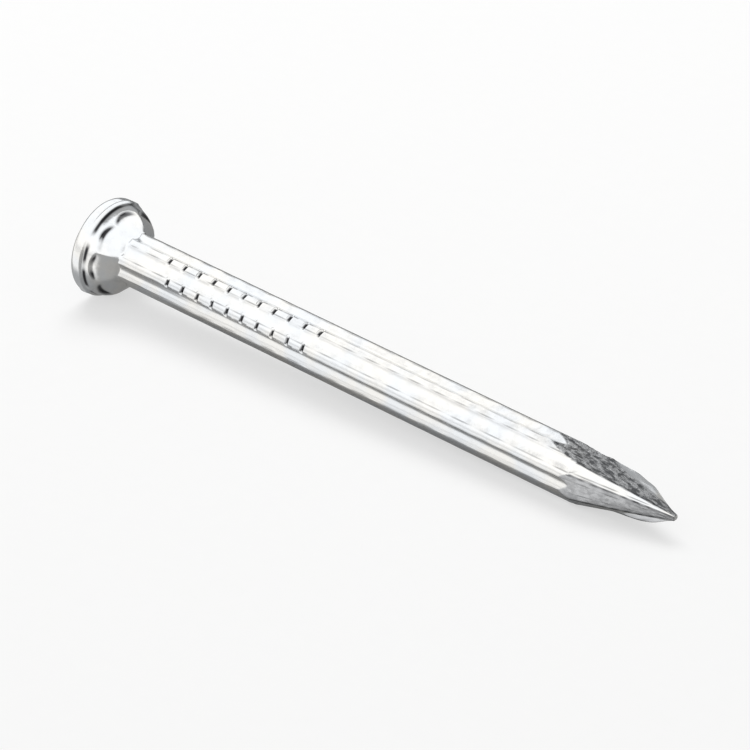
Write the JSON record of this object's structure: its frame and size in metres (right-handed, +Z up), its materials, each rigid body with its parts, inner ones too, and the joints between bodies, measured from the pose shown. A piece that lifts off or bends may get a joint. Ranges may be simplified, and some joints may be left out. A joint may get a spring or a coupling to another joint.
{
  "type": "masonry nail",
  "caption": "Bright zinc-plated fluted masonry nail with a flat round head, bulging panelled neck, grip notches on its flute crests and a diamond point.",
  "frame": {"origin": "centre of the head's flat striking face", "axes": "+X out of the striking face along the nail's axis, point towards -X; a flute and a facet of the point face +Y, +Z, -Y and -Z; +Z up as the nail lies"},
  "size_m": [0.05, 0.0074, 0.0074],
  "materials": {
    "hardened_steel": "dull drawn and hardened carbon steel, hidden under the plating",
    "bright_zinc": "bright electroplated zinc, mirror-like on the shank and point, satin on the head's face"
  },
  "bodies": {
    "root": {"steel_core": "hardened_steel", "zinc_plating": "bright_zinc"}
  },
  "joints": []
}
